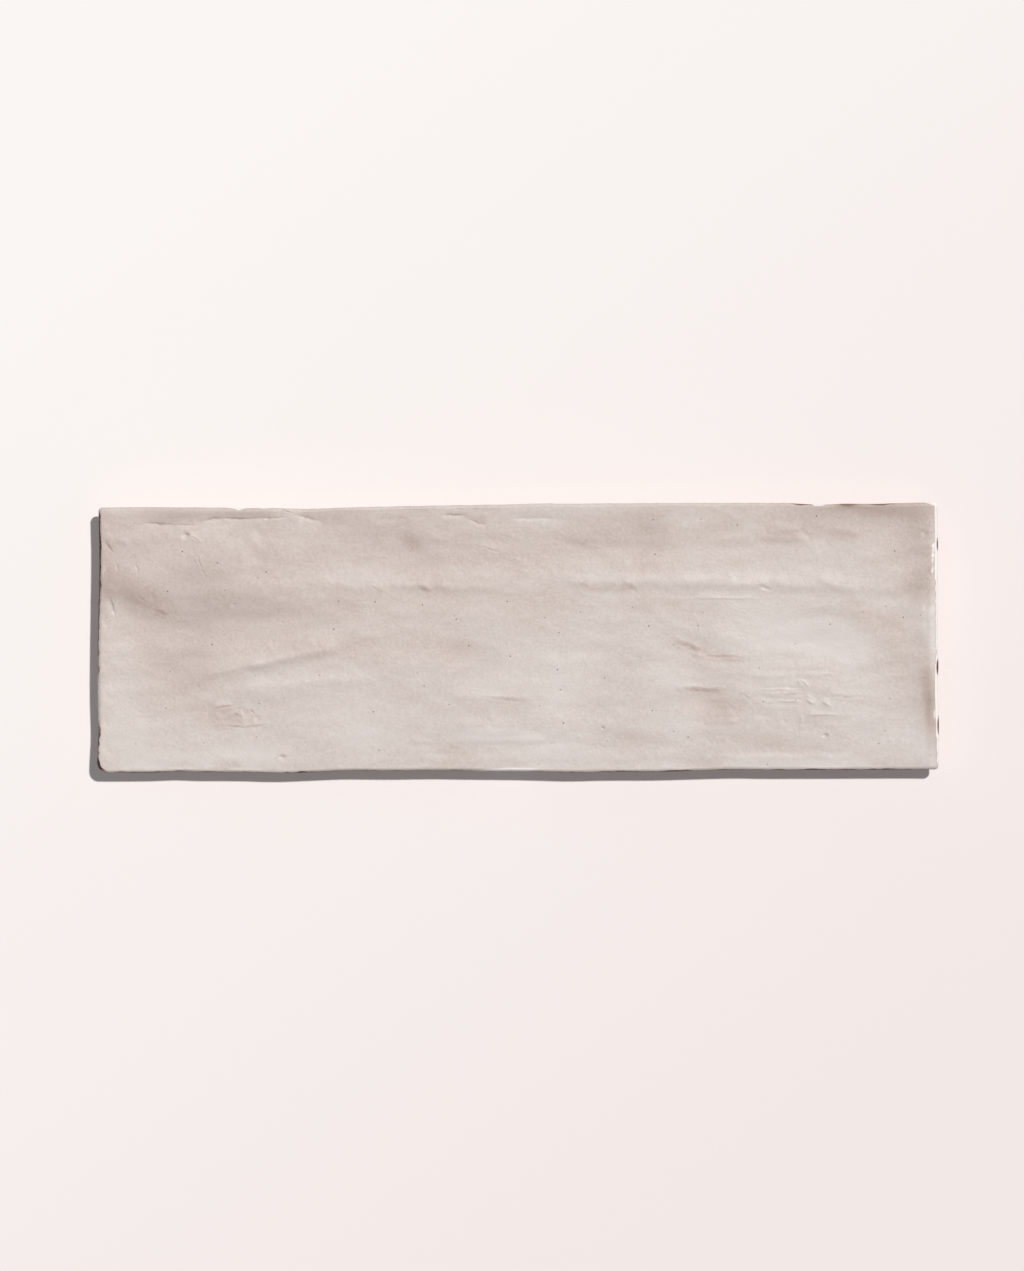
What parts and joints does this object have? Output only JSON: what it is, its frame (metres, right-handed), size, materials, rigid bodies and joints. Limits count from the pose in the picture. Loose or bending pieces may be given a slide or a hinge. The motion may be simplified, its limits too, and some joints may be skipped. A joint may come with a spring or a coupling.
{
  "type": "ceramic wall tile",
  "caption": "Narrow rectangular wall tile of red clay with a waved, matte glazed face, wandering edges, walls cut back below and a grooved back that keys to adhesive.",
  "frame": {"origin": "middle of the back, where the tile rests, half way between its nominal end walls and its nominal long walls", "axes": "+X along the tile's length, +Y across its width, +Z out of the back towards the glazed face"},
  "size_m": [0.201, 0.0643, 0.0092],
  "materials": {
    "glaze": "matte"
  },
  "bodies": {
    "root": {"glazed_tile": "glaze"}
  },
  "joints": []
}
